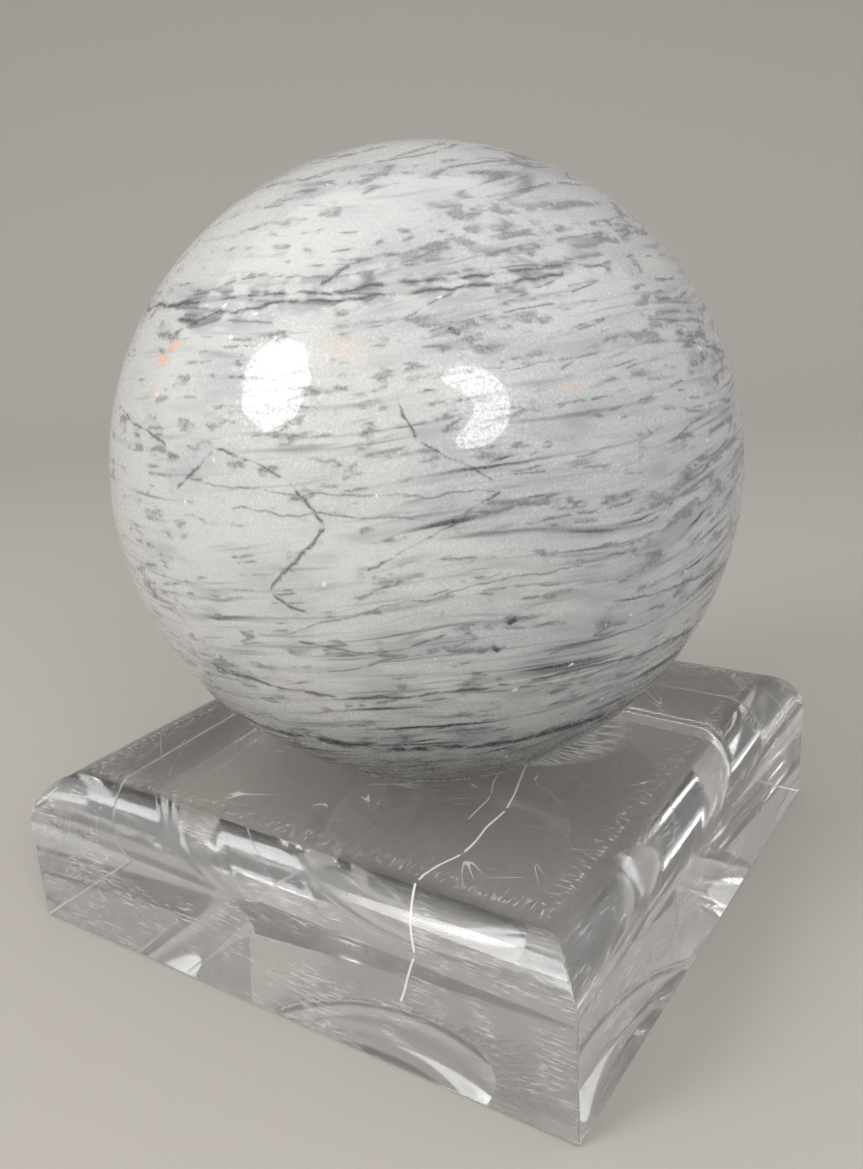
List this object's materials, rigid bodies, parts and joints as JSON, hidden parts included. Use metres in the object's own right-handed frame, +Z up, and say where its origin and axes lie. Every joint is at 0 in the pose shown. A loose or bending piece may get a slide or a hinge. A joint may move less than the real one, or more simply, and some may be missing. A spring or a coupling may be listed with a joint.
{
  "type": "decorative sphere",
  "caption": "Polished veined marble sphere resting in the dished top of a square, clear acrylic block with rounded top edges.",
  "frame": {"origin": "the middle of the acrylic block's underside, on the surface that the ornament stands on", "axes": "+Z up through the middle of the sphere, X and Y square to the block's four sides, -Y towards its front"},
  "size_m": [0.152, 0.152, 0.1837],
  "materials": {
    "marble": "polished",
    "clear_acrylic": "polished"
  },
  "bodies": {
    "root": {"marble_sphere": "marble", "acrylic_base": "clear_acrylic"}
  },
  "joints": []
}
